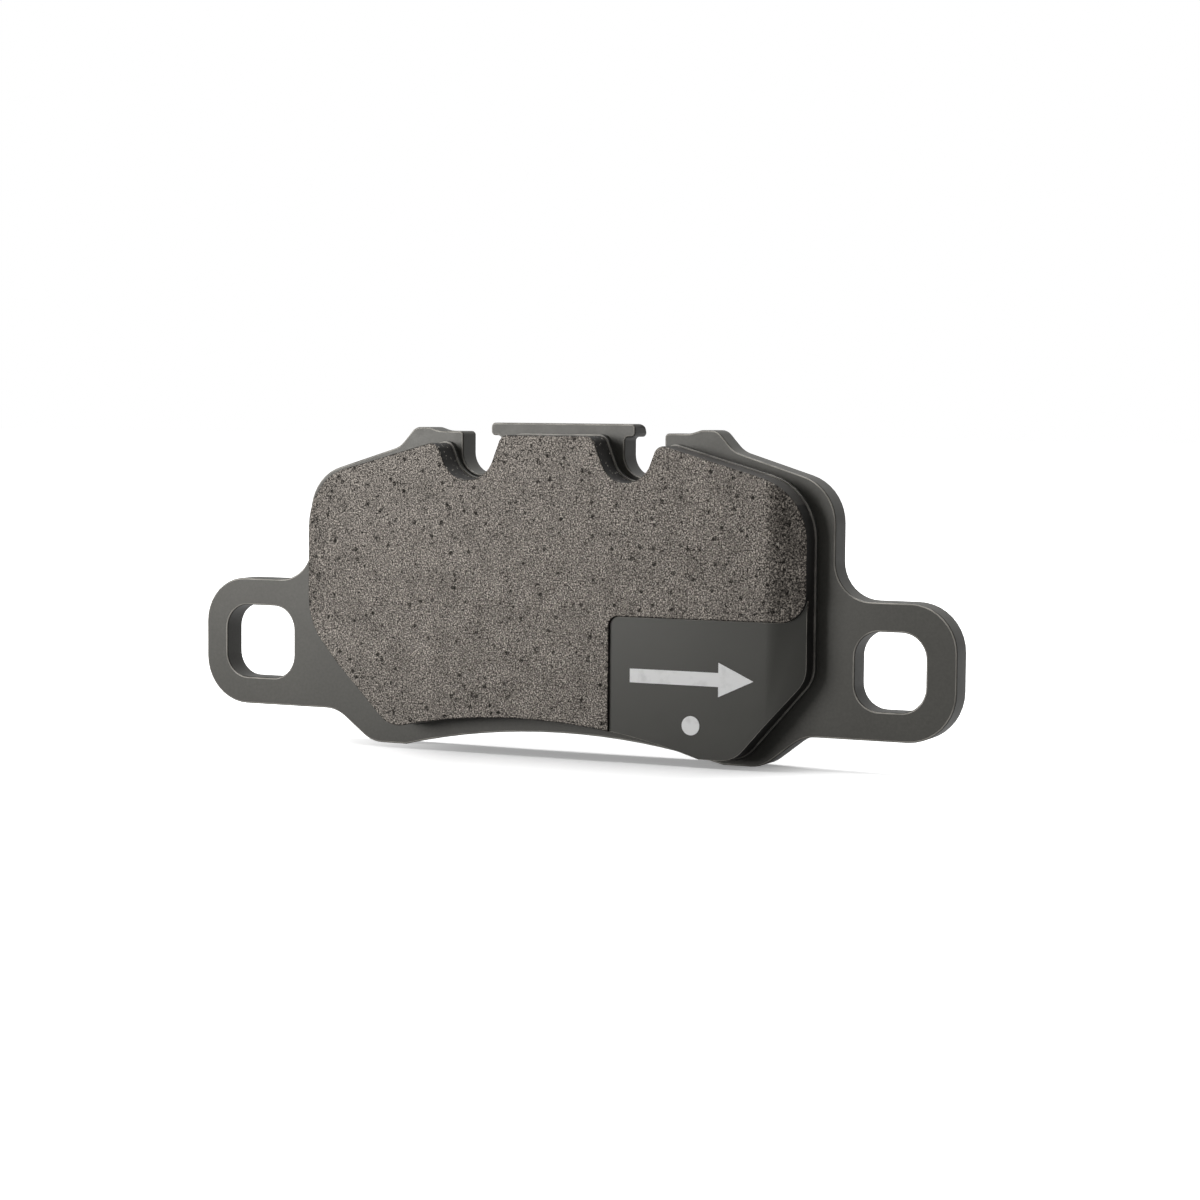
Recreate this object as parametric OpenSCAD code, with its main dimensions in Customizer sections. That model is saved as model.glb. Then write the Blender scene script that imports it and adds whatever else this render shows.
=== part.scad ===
// Disc brake pad: a flat steel plate with an eye at each end and a T-shaped tab between
// two pin notches, an underlayer keyed through the plate, and a friction block on it.
// It stands on the plate's two feet: X is its length, -Y the face that meets the disc, +Z up.

/* [Backing plate] */
// Length over both ears
plate_length = 160; // [152:1:176]
// Thickness of the steel
plate_t = 5.5; // [4:0.5:8]
// Height from the feet to the top of the tab
plate_height = 63.6; // [57:0.1:70]
// How far the body, its feet and its tab lie to the right of the middle between the ears' ends
body_shift = 0.5; // [0:0.1:1]
// Width of the body between the flanks above the ears
body_w = 111.8; // [111:0.1:117]
// How far the top of the flanks lies below the top of the tab
flank_drop = 11.2; // [8:0.1:14]
// Rounding of the two upper body corners
flank_r = 9.2; // [4:0.2:11]

/* [Ears and eyes] */
// Height of the ears' lower edge over the feet
ear_bottom = 6.2; // [5:0.1:8]
// Height of the ears' upper edge over the feet
ear_top = 31.7; // [30:0.1:36]
// Rounding of the ears' upper outer corners
ear_top_r = 9; // [5:0.5:11]
// Rounding of the ears' lower outer corners
ear_bottom_r = 9.4; // [5:0.2:12]
// Rounding of the inside corners where the ears leave the body
ear_root_r = 7; // [3:0.5:12]
// Width of the left eye, the longer of the two, which takes up the tolerance between the pins
slot_w = 15.7; // [13:0.1:16.5]
// Width of the right eye
eye_w = 13.7; // [11:0.1:15]
// Height of each eye
eye_h = 14.6; // [11:0.2:17]
// Corner rounding of the eyes
eye_r = 4.8; // [2:0.2:7]
// Steel left between the left eye and the ear's outer edge
eye_rim = 4.9; // [3.5:0.1:7]

/* [Feet] */
// Distance from the body's middle to the inner edge of each foot
foot_in = 34; // [28:0.5:37]
// Distance from the body's middle to the outer corner of each foot
foot_out = 41.9; // [41:0.1:46]
// Sideways run of the slope from a foot up to the ear
foot_slope = 8.1; // [4:0.1:9]
// Rounding of the outer foot corners
foot_r = 7; // [3:0.5:10]
// Rise of the arched lower edge between the feet
arch_rise = 4.1; // [2:0.1:5.5]

/* [Tab, pin notches and shoulders] */
// Diameter of the retaining pins that the notches clear
pin_d = 8; // [6:0.1:8.6]
// Clearance all round a pin in its notch
pin_clear = 0.15; // [0.05:0.05:0.4]
// Distance from the tab's middle to each pin
pin_x = 17.3; // [16.5:0.1:19]
// How far the pins' centres lie below the top of the tab
pin_drop = 5.8; // [5.2:0.1:8]
// Width of the tab
tab_w = 30.6; // [28:0.2:33]
// Height of the tab's bar
tab_h = 2.45; // [1.6:0.05:3]
// Rounding of the tab's upper edge at the back
tab_back_r = 2; // [0.5:0.1:2.4]
// Rounding of the small corners of the tab and the notches
edge_r = 0.8; // [0.2:0.1:1.1]
// How far the shoulders lie below the top of the tab
shoulder_drop = 1.7; // [1.2:0.1:2.5]
// Distance from the tab's middle to the centre of each shoulder's bump
bump_x = 30.5; // [30:0.25:33]
// Width of the flat crest of a bump
bump_w = 3.2; // [2:0.1:5]
// Rise of a bump over its shoulder
bump_h = 0.7; // [0.4:0.1:1.6]
// Rounding of a bump's crest
bump_r = 2.5; // [1:0.25:4]
// Sideways run of a bump's inner slope
bump_toe_run = 2.2; // [1.5:0.1:4]
// Rounding of the hollows on both sides of a bump
bump_toe_r = 5; // [2:0.5:8]
// Sideways run of a bump's outer slope
bump_run = 3.5; // [2.5:0.1:5]
// Drop of a bump's outer slope
bump_drop = 3.9; // [3:0.1:5]

/* [Underlayer] */
// Thickness of the underlayer in front of the plate
underlayer_t = 1; // [0.5:0.1:2]
// How far its edge stands out round the friction block
underlayer_lip = 0.3; // [0.2:0.05:0.3]
// Diameter of the keying holes through the plate
key_d = 8; // [5:0.5:10]
// Distance from the middle to each keying hole
key_x = 28; // [22:0.5:32]
// Height of the lower keying holes over the feet
key_low = 16; // [14:0.5:22]
// Height of the upper keying holes over the feet
key_high = 42; // [34:0.5:44]
// Clearance between a plug and its hole
key_clear = 0.02; // [0.01:0.01:0.1]
// How far the plugs end short of the plate's back face
key_recess = 0.3; // [0.1:0.1:1]

/* [Friction block] */
// Thickness from the plate to the friction face
pad_t = 6.8; // [5:0.2:14]
// Length of the block
pad_length = 105.6; // [103:0.1:109]
// How far the block's upper edge between the notches lies below the top of the tab
pad_top_drop = 2.3; // [1.9:0.1:3]
// The same for the start of the sloping upper edge beside the notches
pad_shoulder_drop = 3.6; // [2.6:0.1:3.8]
// The same for the end of that slope
pad_end_drop = 11.8; // [10:0.1:16]
// Rounding of the upper end corners
pad_end_r = 12; // [4:0.5:14]
// Bare steel left between the block and each notch on the tab's side
notch_ledge = 1.9; // [1:0.1:3]
// Bare steel left outside the left notch
left_relief = 1.2; // [0.3:0.1:1.5]
// Bare steel left outside the right notch
right_relief = 0.3; // [0.3:0.1:1.5]
// Extra depth of the block's notches below those of the plate
notch_extra = 1; // [0.4:0.1:2]
// Slope of the sides of the block's notches, in degrees
notch_flare = 21; // [10:1:25]
// Rounding of the block's corners beside the notches
lobe_r = 2; // [0.5:0.1:3]
// Radius of the arched lower edge
pad_arch_r = 125; // [110:1:200]
// Height of the arch's highest point over the feet
pad_arch_top = 7.2; // [6.5:0.1:9]
// How far the arch's highest point lies to the left of the middle
pad_arch_shift = 5; // [2:0.5:8]
// Distance from the middle to the lower right corner
corner_right = 39.2; // [38:0.2:42]
// Level stretch of the lower edge beside that corner
pad_foot_w = 7; // [3:0.5:9]
// Height at which the lower right slope reaches the end
corner_right_top = 17; // [13:0.5:20]
// Distance from the middle to the lower left corner
corner_left = 33.4; // [30:0.2:38]
// Height at which the lower left slope reaches the end
corner_left_top = 23.7; // [18:0.1:28]
// Rounding of the other lower corners
corner_r = 6; // [2:0.5:8]
// Rounding where the lower left slope reaches the end
corner_left_r = 12; // [4:0.5:16]

/* [Ramps, recess and coat] */
// Length of the ramp at each end of the friction face
ramp_l = 7.5; // [4:0.1:12]
// Drop of the ramp at the block's end
ramp_drop = 1.6; // [0.4:0.1:2.2]
// Distance from the middle to the recess in the lower right corner
recess_x = 13.8; // [8:0.1:15]
// Height of the recess's upper edge over the feet
recess_top = 27.6; // [22:0.2:32]
// Depth of the recess below the friction face
recess_depth = 0.8; // [0.4:0.1:1.5]
// Rounding of the recess's inner corner
recess_r = 1.8; // [0.5:0.1:3]
// Rounding where the recess's upper edge runs out at the block's end
recess_flare = 5; // [2:0.5:7]
// Thickness of the smooth coat in the recess
coat_t = 0.2; // [0.1:0.05:0.35]

/* [Printed marks] */
// Thickness of the print
print_t = 0.1; // [0.05:0.05:0.15]
// Length of the arrow
arrow_l = 25; // [15:1:27]
// Height of the arrow's head
arrow_h = 6.4; // [4:0.2:8]
// Length of the arrow's head
head_l = 7; // [4:0.5:10]
// Thickness of the arrow's shaft
shaft_h = 2.6; // [1:0.1:3.5]
// How far the arrow's middle lies to the right of the middle of the recess's level part
arrow_shift = 1; // [0:0.5:2]
// Height of the arrow over the feet
arrow_z = 16.6; // [15:0.2:20]
// Diameter of the dot below the arrow
dot_d = 3.6; // [2:0.2:5]
// Space from the arrow's middle line down to the dot's centre
dot_drop = 8.8; // [7:0.2:9.6]

/* [Hidden] */
$fn = 64;
// Degrees of arc between two points of a rounded corner
arc_step = 9;
// Number of straight lengths in an arched lower edge
arch_steps = 16;
// How far a cutting solid runs past what it cuts
over = 1;
half_t = (plate_t + pad_t) / 2;
back_y = half_t;
front_y = half_t - plate_t;
bond_y = front_y - underlayer_t;
face_y = -half_t;
floor_y = face_y + recess_depth;
coat_y = floor_y - coat_t;
body_x = body_w / 2;
ear_x = plate_length / 2;
eye_x = ear_x - eye_rim - slot_w / 2;
eye_z = (ear_bottom + ear_top) / 2;
flank_z = plate_height - flank_drop;
pin_z = plate_height - pin_drop;
notch_r = pin_d / 2 + pin_clear;
neck_x = pin_x - notch_r;
shoulder_x = pin_x + notch_r;
tab_x = tab_w / 2;
tab_z = plate_height - tab_h;
shoulder_z = plate_height - shoulder_drop;
crest_z = shoulder_z + bump_h;
bump_in = bump_x - bump_w / 2;
bump_out = bump_x + bump_w / 2;
bump_toe = bump_in - bump_toe_run;
arch_r = (foot_in * foot_in + arch_rise * arch_rise) / (2 * arch_rise);
end_x = pad_length / 2;
lobe_x = neck_x - notch_ledge;
notch_low = pin_z - notch_r - notch_extra;
pad_foot_x = corner_right - pad_foot_w;
ramp_x = end_x - ramp_l;
ramp_rate = ramp_drop / ramp_l;
arrow_x = (recess_x + ramp_x) / 2 + arrow_shift;

function flat(p) = [p.x, p.y];
function unit(v) = v / norm(v);
function mirrored(points) = [for (i = [len(points) - 1 : -1 : 0]) [-points[i].x, points[i].y, points[i].z]];

// The arc that rounds corner b between a and c, kept short enough for both its sides
function fillet(a, b, c, r) =
    let (
        u = unit(a - b),
        w = unit(c - b),
        half = acos(max(-1, min(1, u * w))) / 2,
        reach = min(r / tan(half), 0.49 * min(norm(a - b), norm(c - b))),
        radius = reach * tan(half),
        centre = b + unit(u + w) * radius / sin(half),
        start = b + u * reach - centre,
        sweep = (180 - 2 * half) * (cross(u, w) < 0 ? 1 : -1),
        steps = max(2, ceil(abs(sweep) / arc_step))
    )
    [for (i = [0 : steps])
        let (angle = atan2(start.y, start.x) + sweep * i / steps)
        centre + radius * [cos(angle), sin(angle)]];

// An outline from corners [x, z, rounding], listed anticlockwise
function rounded(corners) =
    let (n = len(corners))
    [for (i = [0 : n - 1])
        let (a = corners[(i + n - 1) % n], b = corners[i], c = corners[(i + 1) % n])
        each (b.z > 0 ? fillet(flat(a), flat(b), flat(c), b.z) : [flat(b)])];

// The same corners with every side moved outwards by g
function grown(corners, g) =
    let (n = len(corners))
    [for (i = [0 : n - 1])
        let (
            b = corners[i],
            before = unit(flat(b) - flat(corners[(i + n - 1) % n])),
            after = unit(flat(corners[(i + 1) % n]) - flat(b)),
            out = [before.y + after.y, -before.x - after.x] / (1 + before * after),
            r = b.z > 0 ? max(0, b.z + (cross(before, after) > 0 ? g : -g)) : 0
        )
        [b.x + g * out.x, b.y + g * out.y, r]];

// Points of a circular arch with its top at [x, z], from x = from to x = to
function arch(x, z, r, from, to) =
    [for (i = [0 : arch_steps])
        let (px = from + (to - from) * i / arch_steps)
        [px, z - r + sqrt(r * r - (px - x) * (px - x)), 0]];

// Right-hand corners of the plate, from the foot up to the tab, with the body's middle at x = s
function plate_side(s) = [
    [foot_out + s, 0, foot_r],
    [foot_out + foot_slope + s, ear_bottom, foot_r],
    [ear_x, ear_bottom, ear_bottom_r],
    [ear_x, ear_top, ear_top_r],
    [body_x + s, ear_top, ear_root_r],
    [body_x + s, flank_z, flank_r],
    [bump_out + bump_run + s, crest_z - bump_drop, bump_toe_r],
    [bump_out + s, crest_z, bump_r],
    [bump_in + s, crest_z, bump_r],
    [bump_toe + s, shoulder_z, bump_toe_r],
    [shoulder_x + s, shoulder_z, edge_r],
    [shoulder_x + s, pin_z, 0],
    [neck_x + s, pin_z, 0],
    [neck_x + s, tab_z, edge_r],
    [tab_x + s, tab_z, edge_r],
    [tab_x + s, plate_height, edge_r]
];
plate_corners = concat(
    arch(body_shift, arch_rise, arch_r, body_shift - foot_in, body_shift + foot_in),
    plate_side(body_shift),
    mirrored(plate_side(-body_shift))
);

// Radius of one of the block's notches, and its middle's distance from the tab's middle
function pad_notch_r(relief) = (shoulder_x + relief - lobe_x) / 2;
function pad_notch_x(relief) = lobe_x + pad_notch_r(relief);

// Right-hand corners of the block's upper edge, with the tab's middle at x = s: the sides of
// the notch slope outwards from where they touch its round bottom
function pad_top_side(s, relief) =
    let (
        r = pad_notch_r(relief),
        middle = s + pad_notch_x(relief),
        reach = r * cos(notch_flare),
        touch = notch_low + r - r * sin(notch_flare),
        flank_top = plate_height - pad_shoulder_drop,
        lobe_top = plate_height - pad_top_drop
    )
    [
        [end_x, plate_height - pad_end_drop, pad_end_r],
        [middle + reach + (flank_top - touch) * tan(notch_flare), flank_top, lobe_r],
        [middle + reach, touch, 0],
        [middle - reach, touch, 0],
        [middle - reach - (lobe_top - touch) * tan(notch_flare), lobe_top, lobe_r]
    ];
pad_corners = concat(
    arch(-pad_arch_shift, pad_arch_top, pad_arch_r, corner_r - corner_left, pad_foot_x),
    [[corner_right, pad_low(pad_foot_x), corner_r], [end_x, corner_right_top, corner_r]],
    pad_top_side(body_shift, right_relief),
    mirrored(pad_top_side(-body_shift, left_relief)),
    [[-end_x, corner_left_top, corner_left_r], [-corner_left, pad_low(-corner_left), corner_r]]
);
// Height of the block's lower edge at x
function pad_low(x) = pad_arch_top - pad_arch_r + sqrt(pow(pad_arch_r, 2) - pow(x + pad_arch_shift, 2));

// A flat outline in X and Z, given thickness from y = near to y = far
module slab(near, far) {
    translate([0, far, 0])
        rotate([90, 0, 0])
            linear_extrude(far - near)
                children();
}

// A round bar along Y
module bar(x, z, d, near, far) {
    translate([x, far, z])
        rotate([90, 0, 0])
            cylinder(h = far - near, d = d);
}

// The round bottoms of the block's two notches, made smaller by lip all round
module pad_notches(lip, near, far) {
    for (notch = [[-1, left_relief], [1, right_relief]]) {
        r = pad_notch_r(notch[1]);
        x = body_shift + notch[0] * pad_notch_x(notch[1]);
        bar(x, notch_low + r, 2 * (r - lip), near - over, far + over);
    }
}

// The opening in an ear, with its middle at x = middle
module eye(middle, width) {
    cross_x = width / 2 - eye_r;
    cross_z = eye_h / 2 - eye_r;
    for (size = [[width, 2 * cross_z], [2 * cross_x, eye_h]])
        translate([middle - size.x / 2, front_y - over, eye_z - size.y / 2])
            cube([size.x, plate_t + 2 * over, size.y]);
    for (x = [-cross_x, cross_x], z = [-cross_z, cross_z])
        bar(middle + x, eye_z + z, 2 * eye_r, front_y - over, back_y + over);
}

module tab_rounding() {
    translate([body_shift - tab_x - over, back_y - tab_back_r, plate_height - tab_back_r])
        difference() {
            cube([tab_w + 2 * over, tab_back_r + over, tab_back_r + over]);
            rotate([0, 90, 0])
                cylinder(h = tab_w + 2 * over, r = tab_back_r);
        }
}

// The keying holes, or the plugs that fill them
module keys(d, near, far) {
    for (x = [-key_x, key_x], z = [key_low, key_high])
        bar(x, z, d, near, far);
}

// All that lies behind the friction face and its two ramps when the face is at y = top
module behind_ramps(top) {
    reach = end_x + 2 * over;
    low = top + ramp_rate * (reach - ramp_x);
    translate([0, 0, -over])
        linear_extrude(plate_height + 2 * over)
            polygon([[-reach, back_y], [-reach, low], [-ramp_x, top], [ramp_x, top], [reach, low], [reach, back_y]]);
}

// The space cut out of the lower right corner, down to the recess's floor
module recess() {
    reach = end_x + 2 * over;
    difference() {
        slab(face_y - over, bond_y)
            polygon(rounded([
                [recess_x, -over, 0],
                [reach, -over, 0],
                [reach, recess_top + 2 * recess_flare, 0],
                [end_x, recess_top + 2 * recess_flare, 0],
                [end_x, recess_top, recess_flare],
                [recess_x, recess_top, recess_r]
            ]));
        behind_ramps(floor_y);
    }
}

module backing_plate() {
    color("#6a6862")
        difference() {
            slab(front_y, back_y)
                polygon(rounded(plate_corners));
            eye(-eye_x, slot_w);
            eye(eye_x, eye_w);
            for (side = [-1, 1])
                bar(body_shift + side * pin_x, pin_z, 2 * notch_r, front_y - over, back_y + over);
            keys(key_d, front_y - over, back_y + over);
            tab_rounding();
        }
}

module underlayer() {
    color("#4a4740") {
        difference() {
            slab(bond_y, front_y)
                polygon(rounded(grown(pad_corners, underlayer_lip)));
            pad_notches(underlayer_lip, bond_y, front_y);
        }
        keys(key_d - 2 * key_clear, front_y, back_y - key_recess);
    }
}

module friction_block() {
    color("#78706a")
        difference() {
            intersection() {
                slab(face_y, bond_y)
                    polygon(rounded(pad_corners));
                behind_ramps(face_y);
            }
            pad_notches(0, face_y, bond_y);
            recess();
        }
}

module corner_coat() {
    color("#50504a")
        intersection() {
            slab(face_y, bond_y)
                polygon(rounded(pad_corners));
            recess();
            behind_ramps(coat_y);
        }
}

module print_arrow() {
    neck = arrow_l / 2 - head_l;
    color("#ebebe8")
        slab(coat_y - print_t, coat_y)
            translate([arrow_x, arrow_z])
                polygon([
                    [-arrow_l / 2, -shaft_h / 2],
                    [neck, -shaft_h / 2],
                    [neck, -arrow_h / 2],
                    [arrow_l / 2, 0],
                    [neck, arrow_h / 2],
                    [neck, shaft_h / 2],
                    [-arrow_l / 2, shaft_h / 2]
                ]);
}

module print_dot() {
    color("#ebebe8")
        bar(arrow_x, arrow_z - dot_drop, dot_d, coat_y - print_t, coat_y);
}

backing_plate();
underlayer();
friction_block();
corner_coat();
print_arrow();
print_dot();
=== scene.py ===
"""The looks of a disc brake pad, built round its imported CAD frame."""

import math

import bmesh
import bpy
from mathutils import Matrix, Vector
from mathutils.bvhtree import BVHTree


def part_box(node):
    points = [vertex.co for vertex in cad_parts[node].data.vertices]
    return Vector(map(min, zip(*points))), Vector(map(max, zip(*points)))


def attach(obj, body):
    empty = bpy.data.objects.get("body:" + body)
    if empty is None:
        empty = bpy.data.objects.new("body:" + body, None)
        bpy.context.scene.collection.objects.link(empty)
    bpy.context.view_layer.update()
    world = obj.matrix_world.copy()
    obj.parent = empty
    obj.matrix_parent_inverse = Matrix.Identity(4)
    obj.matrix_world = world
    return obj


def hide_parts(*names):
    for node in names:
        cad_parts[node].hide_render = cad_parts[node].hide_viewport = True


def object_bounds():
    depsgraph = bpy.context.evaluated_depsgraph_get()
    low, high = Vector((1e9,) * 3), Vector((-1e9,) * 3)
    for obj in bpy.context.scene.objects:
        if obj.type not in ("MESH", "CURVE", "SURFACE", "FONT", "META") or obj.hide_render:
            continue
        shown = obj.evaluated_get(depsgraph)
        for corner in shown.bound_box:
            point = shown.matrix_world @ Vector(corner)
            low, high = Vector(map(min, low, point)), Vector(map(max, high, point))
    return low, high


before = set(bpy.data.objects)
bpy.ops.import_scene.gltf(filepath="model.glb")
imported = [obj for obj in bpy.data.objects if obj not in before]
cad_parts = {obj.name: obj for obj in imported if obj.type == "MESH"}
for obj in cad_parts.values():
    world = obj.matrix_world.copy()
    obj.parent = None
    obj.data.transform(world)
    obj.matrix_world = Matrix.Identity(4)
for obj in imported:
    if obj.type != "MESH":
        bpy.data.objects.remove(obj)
CAD_LOW, CAD_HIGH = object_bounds()
MM = 0.001

# The photograph's frame and the things measured in it, in its own pixels
WIDE, HIGH = 1200, 1200
LONG = max(WIDE, HIGH)
EDGES = {"left": 206, "right": 967, "top": 422, "bottom": 767}
POINTS = {
    "tab_left": (493, 424),
    "tab_right": (635, 425),
    "left_bump": (418, 427),
    "right_bump": (716, 431),
    "left_eye_high": (288, 611),
    "left_eye_low": (234, 671),
    "right_eye_high": (860, 639),
    "right_eye_low": (920, 706),
    "left_ear_low": (224, 692),
    "right_ear_high": (944, 619),
    "block_high_left": (325, 481),
    "block_high_right": (794, 490),
    "block_low_left": (383, 719),
    "recess_high": (613, 619),
    "recess_low": (609, 731),
}

# The camera: pinhole, no shift, aimed by three angles and set back along its own axes
LENS = 84.0
SENSOR = 36.0
YAW, PITCH, ROLL = math.radians(25.38), math.radians(-3.87), math.radians(0.46)
AWAY, ASIDE, RAISED = 539.42 * MM, 7.92 * MM, 29.74 * MM


def camera_axes():
    """The camera's right, up and forward directions."""
    forward = Vector((-math.sin(YAW) * math.cos(PITCH), math.cos(YAW) * math.cos(PITCH), math.sin(PITCH)))
    level = Vector((math.cos(YAW), math.sin(YAW), 0))
    raised = level.cross(forward)
    right = level * math.cos(ROLL) + raised * math.sin(ROLL)
    up = raised * math.cos(ROLL) - level * math.sin(ROLL)
    return level, raised, forward, right, up


def make_camera():
    """The camera, set back from the foot of the plate's front."""
    data = bpy.data.cameras.new("camera")
    data.sensor_fit = "AUTO"
    data.sensor_width = SENSOR
    data.lens = LENS
    data.clip_start = 0.01
    data.clip_end = 20
    level, raised, forward, right, up = camera_axes()
    front = Vector((0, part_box("backing_plate")[0].y, 0))
    place = front + level * ASIDE - forward * AWAY + raised * RAISED
    camera = bpy.data.objects.new("camera", data)
    camera.matrix_world = Matrix.Translation(place) @ Matrix((right, up, -forward)).transposed().to_4x4()
    bpy.context.collection.objects.link(camera)
    bpy.context.scene.camera = camera
    return camera


camera = make_camera()


def image_point(place):
    """Where a point of the row frame shows in the photograph's frame."""
    p = camera.matrix_world.inverted() @ place
    scale = LONG * LENS / SENSOR / -p.z
    across = WIDE / 2 + p.x * scale - camera.data.shift_x * LONG
    down = HIGH / 2 - p.y * scale + camera.data.shift_y * LONG
    return across, down


# ---------------------------------------------------------------- materials

WHITE = (1.0, 1.0, 1.0)
# Metal grains in the compound's face and in its moulded sides, with their glint painted in as a bright
# colour
FACE_GRAIN_GLINT = (0.38, 0.355, 0.315)
SIDE_GRAIN_GLINT = (0.40, 0.375, 0.335)
# The warm tint of what paint and compound reflect
PAINT_TINT = (1.0, 0.98, 0.93, 1)
COMPOUND_TINT = (1.0, 0.91, 0.82, 1)


def new_material(name):
    """A material, its node tree and its shader."""
    material = bpy.data.materials.new(name)
    material.use_nodes = True
    tree = material.node_tree
    shader = tree.nodes["Principled BSDF"]
    return material, tree, shader


def add(tree, kind, **properties):
    """A new node with its properties set."""
    node = tree.nodes.new(kind)
    for name, value in properties.items():
        setattr(node, name, value)
    return node


def link(tree, a, out, b, into):
    """Node a's output out goes to node b's input into."""
    tree.links.new(a.outputs[out], b.inputs[into])


def place_node(tree):
    """The places on a piece, from which every texture works."""
    return add(tree, "ShaderNodeTexCoord")


def noise(tree, scale, detail, roughness=0.5):
    """Soft noise with about this many waves to a metre."""
    node = add(tree, "ShaderNodeTexNoise")
    node.inputs["Scale"].default_value = scale
    node.inputs["Detail"].default_value = detail
    node.inputs["Roughness"].default_value = roughness
    link(tree, place_node(tree), "Object", node, "Vector")
    return node


def cells(tree, scale):
    """Voronoi cells, each with a colour and with the distance from its middle."""
    node = add(tree, "ShaderNodeTexVoronoi")
    node.inputs["Scale"].default_value = scale
    link(tree, place_node(tree), "Object", node, "Vector")
    return node


def ramp(tree, source, out, stops):
    """A colour ramp over source's output; stops are (place, grey or colour)."""
    node = add(tree, "ShaderNodeValToRGB")
    elements = node.color_ramp.elements
    while len(elements) < len(stops):
        elements.new(0.5)
    for element, (at, colour) in zip(elements, stops):
        element.position = at
        element.color = (*colour, 1) if isinstance(colour, tuple) else (colour, colour, colour, 1)
    link(tree, source, out, node, "Fac")
    return node


def mix(tree, kind, a, a_out, b, b_out, factor_from=None, factor_out=None):
    """A and B blended; either may be a node or a plain colour. The result is output 2."""
    node = add(tree, "ShaderNodeMix", data_type="RGBA", blend_type=kind)
    node.inputs[0].default_value = 1.0
    if factor_from is not None:
        tree.links.new(factor_from.outputs[factor_out], node.inputs[0])
    for source, out, socket in ((a, a_out, 6), (b, b_out, 7)):
        if isinstance(source, tuple):
            node.inputs[socket].default_value = (*source, 1)
        else:
            tree.links.new(source.outputs[out], node.inputs[socket])
    return node


def bump(tree, shader, height, out, strength, distance, below=None):
    """Fine relief on the shader, or only a node for another relief to stand on."""
    node = add(tree, "ShaderNodeBump")
    node.inputs["Strength"].default_value = strength
    node.inputs["Distance"].default_value = distance
    link(tree, height, out, node, "Height")
    if below is not None:
        link(tree, below, "Normal", node, "Normal")
    if shader is not None:
        link(tree, node, "Normal", shader, "Normal")
    return node


def times(tree, a, a_out, b, b_out):
    """One output times another."""
    node = add(tree, "ShaderNodeMath", operation="MULTIPLY")
    link(tree, a, a_out, node, 0)
    link(tree, b, b_out, node, 1)
    return node


def sheen(tree, shader, low, high, scale):
    """Roughness that wanders between two levels."""
    rough = ramp(tree, noise(tree, scale, 3), "Fac", [(0.3, low), (0.7, high)])
    link(tree, rough, "Color", shader, "Roughness")


def toned(tone, colour):
    """A colour made lighter or darker."""
    return tuple(tone * part for part in colour)


def edge_highlight_and_shade(tree, base, out, colour):
    """The base colour with painted shade round the edges and a light, patchy painted highlight line on
    their front side.
    """
    shade = add(tree, "ShaderNodeAttribute", attribute_name="shade")
    darker = mix(tree, "MULTIPLY", base, out, toned(0.25, WHITE), None, factor_from=shade, factor_out="Fac")
    edge_highlight = add(tree, "ShaderNodeAttribute", attribute_name="edge_highlight")
    patchy = ramp(tree, noise(tree, 260, 3), "Fac", [(0.30, 0.45), (0.60, 1.0)])
    amount = times(tree, edge_highlight, "Fac", patchy, "Color")
    return mix(tree, "MIX", darker, 2, colour, None, factor_from=amount, factor_out=0)


def plate_material():
    """Satin powder coat: a fine orange peel, faint mottling, and painted shade with a painted highlight
    line on its rounded edges.
    """
    material, tree, shader = new_material("powder_coat")
    dark, light = (0.062, 0.060, 0.053), (0.070, 0.068, 0.060)
    mottle = ramp(tree, noise(tree, 90, 4), "Fac", [(0.35, dark), (0.65, light)])
    grain = ramp(tree, noise(tree, 1800, 2), "Fac", [(0.3, 0.90), (0.7, 1.10)])
    coat = mix(tree, "MULTIPLY", mottle, "Color", grain, "Color")
    # The rounded edges get painted shade, and a patchy painted highlight line on their front strip
    edge_lit = edge_highlight_and_shade(tree, coat, 2, (0.42, 0.40, 0.36))
    link(tree, edge_lit, 2, shader, "Base Color")
    sheen(tree, shader, 0.35, 0.40, 420)
    shader.inputs["Specular Tint"].default_value = PAINT_TINT
    bump(tree, shader, noise(tree, 1700, 2), "Fac", 0.10, 0.05 * MM)
    return material


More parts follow.
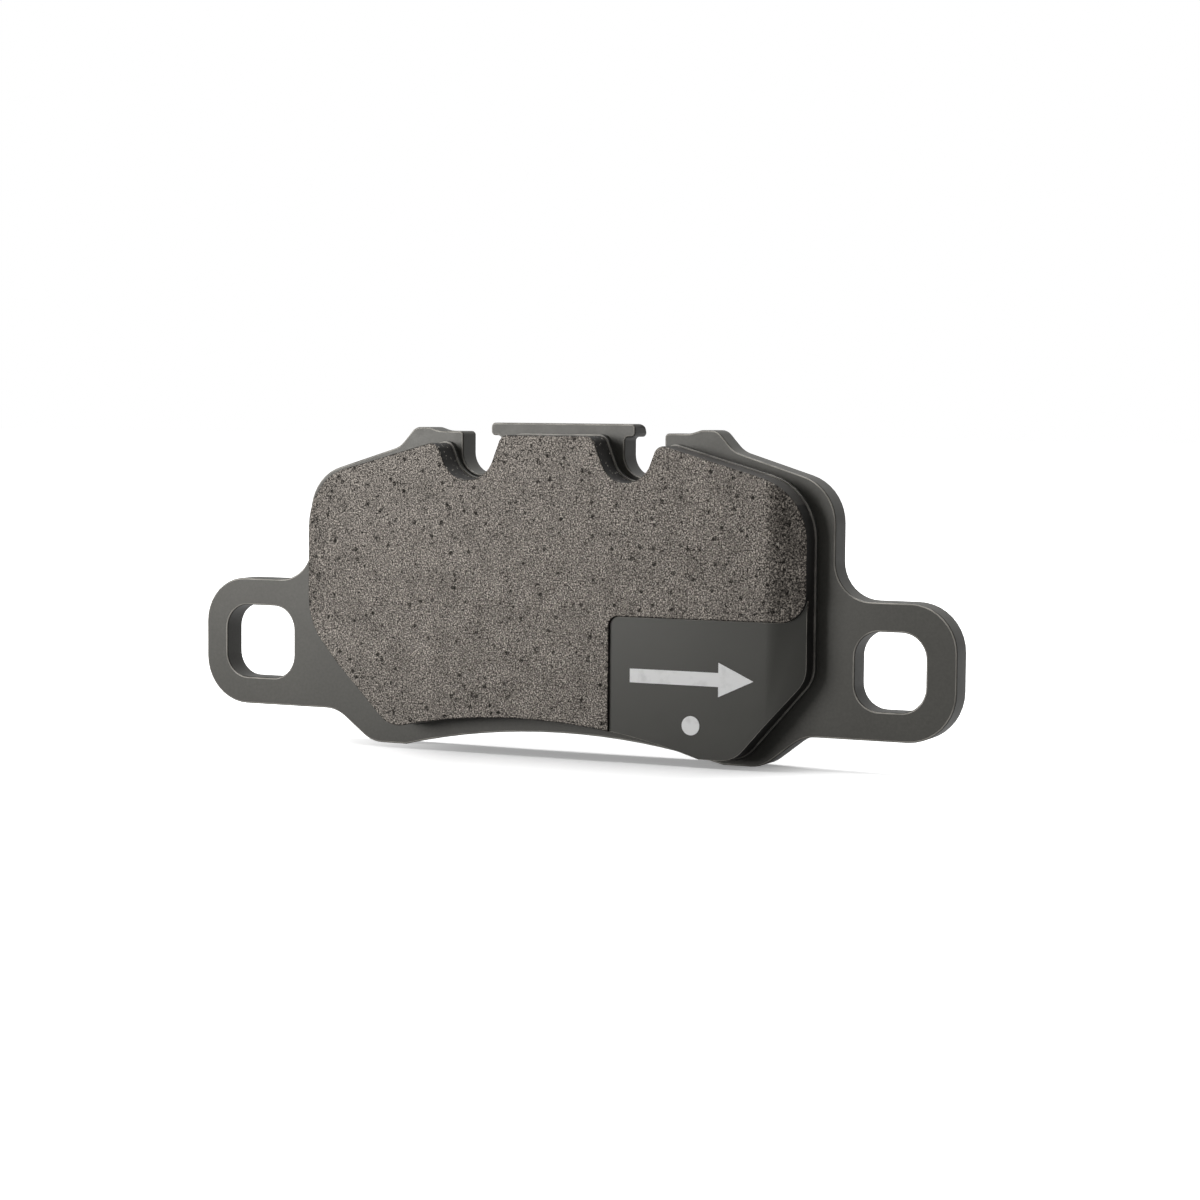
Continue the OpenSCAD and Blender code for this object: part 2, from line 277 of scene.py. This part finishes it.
def friction_material(name, tone, glint_share):
    """Moulded friction compound: fine grey grain, dark clusters and pits, and small metal grains with their
    glint painted in.
    """
    material, tree, shader = new_material(name)
    dull = toned(tone, (0.070, 0.0625, 0.054))
    pale = toned(tone, (0.124, 0.111, 0.0975))
    blotches = ramp(tree, noise(tree, 170, 5, 0.6), "Fac", [(0.35, dull), (0.65, pale)])
    grains = noise(tree, 3400, 2, 0.6)
    contrast = ramp(tree, grains, "Fac", [(0.34, 0.03), (0.45, 0.56), (0.55, 1.18), (0.63, 4.8)])
    specks = ramp(tree, noise(tree, 1500, 4, 0.72), "Fac", [(0.39, 0.04), (0.45, 1.0)])
    crowding = ramp(tree, noise(tree, 330, 3), "Fac", [(0.40, 1.0), (0.62, 0.15)])
    crowded = mix(tree, "MIX", WHITE, None, specks, "Color", factor_from=crowding, factor_out="Color")
    grained = mix(tree, "MULTIPLY", contrast, "Color", crowded, 2)
    pits = cells(tree, 420)
    pit_tone = ramp(tree, pits, "Distance", [(0.12, 0.2), (0.20, 1.0)])
    grit = mix(tree, "MULTIPLY", grained, 2, pit_tone, "Color")
    pitted = mix(tree, "MULTIPLY", blotches, "Color", grit, 2)
    gloss = ramp(tree, grit, 2, [(0.0, 0.05), (0.5, 0.5 * tone), (1.0, tone)])
    link(tree, gloss, "Color", shader, "Specular IOR Level")
    shader.inputs["Specular Tint"].default_value = COMPOUND_TINT
    # Metal grains, with their glint painted in as a bright colour
    glints = ramp(tree, cells(tree, 3000), "Color", [(1 - glint_share, 0.0), (1 - 0.7 * glint_share, 1.0)])
    bright = mix(tree, "MIX", pitted, 2, FACE_GRAIN_GLINT, None, factor_from=glints, factor_out="Color")
    link(tree, bright, 2, shader, "Base Color")
    sheen(tree, shader, 0.31, 0.39, 1500)
    coarse = bump(tree, None, grains, "Fac", 0.8, 0.14 * MM)
    bump(tree, shader, pit_tone, "Color", 0.6, 0.14 * MM, below=coarse)
    return material


def wall_material(name, tone, sparkle):
    """The block's moulded sides: dark, with fine grain and a share of metal grains with their glint painted
    in.
    """
    material, tree, shader = new_material(name)
    dull = toned(tone, (0.55, 0.51, 0.45))
    pale = toned(tone, (1.0, 0.94, 0.84))
    base = ramp(tree, noise(tree, 900, 3), "Fac", [(0.35, dull), (0.7, pale)])
    # A share of metal grains, with their glint painted in as a bright colour
    chosen = ramp(tree, cells(tree, 3200), "Color", [(1.0 - sparkle, 0.0), (1.0 - sparkle / 2, 1.0)])
    spotted = mix(tree, "MIX", base, "Color", SIDE_GRAIN_GLINT, None, factor_from=chosen, factor_out="Color")
    link(tree, spotted, 2, shader, "Base Color")
    sheen(tree, shader, 0.5, 0.65, 900)
    shader.inputs["Specular IOR Level"].default_value = 0.3
    bump(tree, shader, noise(tree, 1300, 3), "Fac", 0.3, 0.08 * MM)
    return material


def paint_material():
    """Smooth satin paint in the recess."""
    material, tree, shader = new_material("corner_paint")
    dark, light = (0.034, 0.034, 0.030), (0.039, 0.039, 0.034)
    tone = ramp(tree, noise(tree, 70, 3), "Fac", [(0.3, dark), (0.7, light)])
    # The coat's rounded edges get painted shade, and a patchy painted highlight line on their front strip
    edge_lit = edge_highlight_and_shade(tree, tone, "Color", (0.34, 0.325, 0.29))
    link(tree, edge_lit, 2, shader, "Base Color")
    sheen(tree, shader, 0.33, 0.37, 300)
    shader.inputs["Specular Tint"].default_value = PAINT_TINT
    bump(tree, shader, noise(tree, 900, 2), "Fac", 0.06, 0.04 * MM)
    return material


def underlayer_material():
    """Dark bonding compound with a painted highlight on its lip and painted shade round its edges."""
    material, tree, shader = new_material("underlayer_compound")
    dark, light = (0.018, 0.017, 0.015), (0.030, 0.028, 0.025)
    base = ramp(tree, noise(tree, 800, 3), "Fac", [(0.35, dark), (0.7, light)])
    edge_lit = edge_highlight_and_shade(tree, base, "Color", (0.50, 0.475, 0.43))
    link(tree, edge_lit, 2, shader, "Base Color")
    sheen(tree, shader, 0.5, 0.6, 700)
    bump(tree, shader, noise(tree, 1300, 3), "Fac", 0.25, 0.06 * MM)
    return material


def ink_material():
    """White ink, slightly uneven where the print is thin."""
    material, tree, shader = new_material("white_ink")
    thin, full = (0.76, 0.76, 0.75), (0.92, 0.92, 0.91)
    tone = ramp(tree, noise(tree, 500, 3), "Fac", [(0.25, thin), (0.5, full)])
    link(tree, tone, "Color", shader, "Base Color")
    sheen(tree, shader, 0.40, 0.48, 600)
    bump(tree, shader, noise(tree, 1500, 2), "Fac", 0.1, 0.03 * MM)
    return material


# ------------------------------------------------------------------- pieces

# Edges sharper than this are rounded, and those sharper than the creases stay crisp
HARD_EDGE = math.radians(25)
CREASE = math.radians(9)
ROUNDED_CREASE = math.radians(50)
# Points nearer than this are one, and faces flatter to each other than this are one
WELD = 0.002 * MM
FLAT = math.radians(0.5)


def looks_forward(face):
    """Whether a face looks out of the pad's front, the ramps among them."""
    return -face.normal.y > 0.6


def rounded_copy(node, name, width, lip):
    """A new mesh with a CAD node's shape and its hard edges rounded in two strips: the strip on
    the front side is marked for a painted highlight and the other for painted shade. A lip's whole front
    gets the painted highlight."""
    bm = bmesh.new()
    bm.from_mesh(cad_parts[node].data)
    edge_highlight = bm.faces.layers.float.new("edge_highlight")
    shade = bm.faces.layers.float.new("shade")
    bmesh.ops.remove_doubles(bm, verts=bm.verts, dist=WELD)
    bmesh.ops.dissolve_limit(bm, angle_limit=FLAT, verts=bm.verts, edges=bm.edges)
    hard = [e for e in bm.edges if len(e.link_faces) == 2 and e.calc_face_angle() > HARD_EDGE]
    made = bmesh.ops.bevel(bm, geom=hard, offset=width, segments=2, profile=0.5, affect="EDGES",
                           clamp_overlap=False)
    for face in made["faces"]:
        face[edge_highlight] = 1.0 if looks_forward(face) else 0.0
        face[shade] = 1.0 - face[edge_highlight]
    for face in bm.faces:
        face.smooth = True
        if lip and looks_forward(face):
            face[edge_highlight] = 1.0
    for edge in bm.edges:
        rounded = any(face[edge_highlight] + face[shade] > 0 for face in edge.link_faces)
        crease = ROUNDED_CREASE if rounded else CREASE
        edge.smooth = len(edge.link_faces) == 2 and edge.calc_face_angle() < crease
    mesh = bpy.data.meshes.new(name)
    bm.to_mesh(mesh)
    bm.free()
    piece = bpy.data.objects.new(name, mesh)
    bpy.context.collection.objects.link(piece)
    normals = piece.modifiers.new("normals", "WEIGHTED_NORMAL")
    normals.keep_sharp = True
    return piece


def dress(node, name, slot, width, *materials, lip=False):
    """A CAD node's rounded copy in its materials, in the node's place."""
    piece = rounded_copy(node, name, width, lip)
    for material in materials:
        piece.data.materials.append(material)
    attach(piece, "root")
    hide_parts(node)
    return piece


# The block's notches lie no further below the tab's top and from the middle than this
NOTCH_DEPTH = 13 * MM
NOTCH_REACH = 24 * MM


def block_slots(piece):
    """Slot 0 on the friction face, 1 on its right ramp in darker painted shade, 2 on the outer sides, 3 on
    the upper sides in lighter painted light from above and 4 inside the notches."""
    for face in piece.data.polygons:
        if looks_forward(face):
            face.material_index = 1 if face.normal.x > 0.1 else 0
        elif face.center.z > CAD_HIGH.z - NOTCH_DEPTH and abs(face.center.x) < NOTCH_REACH:
            face.material_index = 4
        else:
            face.material_index = 3 if face.normal.z > 0.5 else 2


plate = dress("backing_plate", "plate", "plate_coating", 0.32 * MM, plate_material())
bond = dress("underlayer", "bond_layer", "underlayer_compound", 0.12 * MM, underlayer_material(), lip=True)
block = dress(
    "friction_block", "block", "friction_compound", 0.25 * MM,
    friction_material("friction_compound", 1.0, 0.06),
    # A darker copy of the compound on the right ramp only: painted shade where that ramp turns from the key
    # lamp
    friction_material("friction_ramp_shaded", 0.74, 0.10),
    wall_material("block_sides", 0.014, 0.01),
    # A lighter copy of the sides on the upward faces: painted light from the overhead lamp
    wall_material("block_top_lit", 0.05, 0.05),
    wall_material("notch_sides", 0.018, 0.16),
)
block_slots(block)
coat = dress("corner_coat", "corner_film", "corner_paint", 0.12 * MM, paint_material())
ink = ink_material()
for node in ("print_arrow", "print_dot"):
    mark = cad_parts[node]
    mark.data.materials.clear()
    mark.data.materials.append(ink)

# -------------------------------------------------------- floor and lights

# The share of light the paper throws back at the pad, and how much it glows to the camera
FLOOR_BOUNCE = 0.15
FLOOR_GLOW = 0.22
# The shadow is kept in an oval of this half length and half depth, with its middle right of the
# pad's middle. From this share of the way to its rim it fades to plain white
SHADOW_SIZE = (72 * MM, 120 * MM)
SHADOW_MIDDLE = 10 * MM
FADE_FROM = 0.35
# The room's light on the pad, and how bright the room in front and the backdrop look in its gloss
WORLD_LEVEL = 0.12
ROOM_LEVEL = 0.12
BACKDROP_LEVEL = 0.45
# Where the lamps point, near the middle of the pad
LAMP_TARGET = Vector((0, 0, 30)) * MM


def seen_directly(tree):
    """1 for rays from the camera, a share in reflections, 0 for the light that falls on the pad."""
    path = add(tree, "ShaderNodeLightPath")
    seen = add(tree, "ShaderNodeMath", operation="MULTIPLY_ADD")
    link(tree, path, "Is Glossy Ray", seen, 0)
    seen.inputs[1].default_value = BACKDROP_LEVEL
    link(tree, path, "Is Camera Ray", seen, 2)
    return seen


def span(tree, source, out, start, end, low, high):
    """A smooth change from low to high while source goes from start to end."""
    node = add(tree, "ShaderNodeMapRange", interpolation_type="SMOOTHSTEP")
    for name, value in (("From Min", start), ("From Max", end), ("To Min", low), ("To Max", high)):
        node.inputs[name].default_value = value
    link(tree, source, out, node, "Value")
    return node


def floor_material():
    """White seamless paper, which fades to plain white away from the pad's shadow."""
    material, tree, shader = new_material("paper")
    tone = ramp(tree, noise(tree, 6, 2), "Fac", [(0.3, 0.88), (0.7, 0.90)])
    path = add(tree, "ShaderNodeLightPath")
    paper = mix(tree, "MIX", toned(FLOOR_BOUNCE, WHITE), None, tone, "Color",
                factor_from=path, factor_out="Is Camera Ray")
    link(tree, paper, 2, shader, "Base Color")
    shader.inputs["Roughness"].default_value = 0.9
    shader.inputs["Specular IOR Level"].default_value = 0.0
    stretched = add(tree, "ShaderNodeVectorMath", operation="MULTIPLY_ADD")
    link(tree, place_node(tree), "Object", stretched, 0)
    stretched.inputs[1].default_value = (1 / SHADOW_SIZE[0], 1 / SHADOW_SIZE[1], 0)
    stretched.inputs[2].default_value = (-SHADOW_MIDDLE / SHADOW_SIZE[0], 0, 0)
    away = add(tree, "ShaderNodeVectorMath", operation="LENGTH")
    link(tree, stretched, "Vector", away, 0)
    fade = span(tree, away, "Value", FADE_FROM, 1.0, FLOOR_GLOW, 1.0)
    glow = times(tree, seen_directly(tree), 0, fade, "Result")
    shader.inputs["Emission Color"].default_value = (1, 1, 1, 1)
    link(tree, glow, 0, shader, "Emission Strength")
    return material


def make_floor():
    """A wide sheet of paper under the pad."""
    bm = bmesh.new()
    bmesh.ops.create_grid(bm, x_segments=8, y_segments=8, size=6.0)
    mesh = bpy.data.meshes.new("floor")
    bm.to_mesh(mesh)
    bm.free()
    floor = bpy.data.objects.new("floor", mesh)
    floor.location.z = CAD_LOW.z
    mesh.materials.append(floor_material())
    bpy.context.collection.objects.link(floor)


def make_world():
    """A white backdrop behind the pad and a dim room in front of it."""
    world = bpy.data.worlds.new("studio")
    bpy.context.scene.world = world
    world.use_nodes = True
    tree = world.node_tree
    sky = tree.nodes["Background"]
    sky.inputs["Color"].default_value = (1, 1, 1, 1)
    way = add(tree, "ShaderNodeSeparateXYZ")
    link(tree, place_node(tree), "Generated", way, "Vector")
    backdrop = span(tree, way, "Y", -0.1, 0.5, ROOM_LEVEL, BACKDROP_LEVEL)
    path = add(tree, "ShaderNodeLightPath")
    reflected = mix(tree, "MIX", toned(WORLD_LEVEL, WHITE), None, backdrop, "Result",
                    factor_from=path, factor_out="Is Glossy Ray")
    level = mix(tree, "MIX", reflected, 2, WHITE, None, factor_from=path, factor_out="Is Camera Ray")
    link(tree, level, 2, sky, "Strength")


def area_light(name, azimuth, elevation, distance, size, power):
    """A soft box seen from the pad at an azimuth, 0 being in front of it and 90 to its right."""
    data = bpy.data.lights.new(name, "AREA")
    data.shape = "RECTANGLE"
    data.size, data.size_y = size
    data.energy = power
    lamp = bpy.data.objects.new(name, data)
    turn, lift = math.radians(azimuth), math.radians(elevation)
    way = Vector((math.sin(turn) * math.cos(lift), -math.cos(turn) * math.cos(lift), math.sin(lift)))
    lamp.location = LAMP_TARGET + way * distance
    lamp.rotation_euler = way.to_track_quat("Z", "Y").to_euler()
    bpy.context.collection.objects.link(lamp)


make_floor()
make_world()
area_light("key", -34, 9, 0.54, (0.29, 0.178), 1.65)
area_light("overhead", -160, 82, 1.3, (1.0, 1.0), 20)

bpy.context.scene.view_settings.view_transform = "Standard"

# ------------------------------------------------------- measuring the result

def finished(piece):
    """A piece's finished vertices in the row frame, and its faces."""
    seen = piece.evaluated_get(bpy.context.evaluated_depsgraph_get())
    mesh = seen.to_mesh()
    places = [seen.matrix_world @ v.co for v in mesh.vertices]
    faces = [tuple(face.vertices) for face in mesh.polygons]
    seen.to_mesh_clear()
    return places, faces


def in_view(pieces):
    """For each piece, those of its finished vertices that the camera sees."""
    meshes = [finished(piece) for piece in pieces]
    trees = [BVHTree.FromPolygons(places, faces) for places, faces in meshes]
    eye = camera.matrix_world.translation

    def seen(place):
        ray = place - eye
        reach = ray.length - 0.1 * MM
        return all(tree.ray_cast(eye, ray.normalized(), reach)[0] is None for tree in trees)

    return [[place for place in places if seen(place)] for places, _ in meshes]


def corner(places, right, down):
    """Where the place that lies farthest that way in the picture shows."""
    return max((image_point(place) for place in places), key=lambda at: at[0] * right + at[1] * down)


# Where the tab, the shoulders' bumps, the ears and their eyes lie, in mm from the middle and up
TAB = (-18, 18)
BUMP = (26, 36)
EAR = (58, 90)
EYE, EYE_UP = (58, 76), (10, 28)


def region(places, across, side=1, up=(-1, 90)):
    """The places within a range across, to the right or with side -1 to the left, and a range up."""
    return [p for p in places if across[0] < side * p.x / MM < across[1] and up[0] < p.z / MM < up[1]]


def measure():
    """How far each thing shows from its point, in pixels of the photograph's frame."""
    parts = in_view([plate, block, bond, coat])
    everything = [place for part in parts for place in part]
    face = [place for place in parts[0] if place.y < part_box("backing_plate")[0].y + 0.5 * MM]
    tab = region(face, TAB)
    left_eye, right_eye = region(face, EYE, -1, EYE_UP), region(face, EYE, 1, EYE_UP)
    found = {
        "tab_left": corner(tab, -1, -1),
        "tab_right": corner(tab, 1, -1),
        "left_bump": corner(region(face, BUMP, -1), -1, -4),
        "right_bump": corner(region(face, BUMP), 1, -4),
        "left_eye_high": corner(left_eye, 1, -1),
        "left_eye_low": corner(left_eye, -1, 1),
        "right_eye_high": corner(right_eye, -1, -1),
        "right_eye_low": corner(right_eye, 1, 1),
        "left_ear_low": corner(region(face, EAR, -1), -1, 1),
        "right_ear_high": corner(region(face, EAR), 1, -1),
        "block_high_left": corner(parts[1], -1, -1),
        "block_high_right": corner(parts[1], 1, -1),
        "block_low_left": corner(parts[1], -1, 1),
        "recess_high": corner(parts[3], -1, -1),
        "recess_low": corner(parts[3], -1, 1),
    }
    sizes = {
        "left": corner(everything, -1, 0)[0],
        "right": corner(everything, 1, 0)[0],
        "top": corner(everything, 0, -1)[1],
        "bottom": corner(everything, 0, 1)[1],
    }
    errors = {name: round(sizes[name] - at, 1) for name, at in EDGES.items()}
    for name, (x, y) in POINTS.items():
        errors[name] = [round(found[name][0] - x, 1), round(found[name][1] - y, 1)]
    return errors


measure()
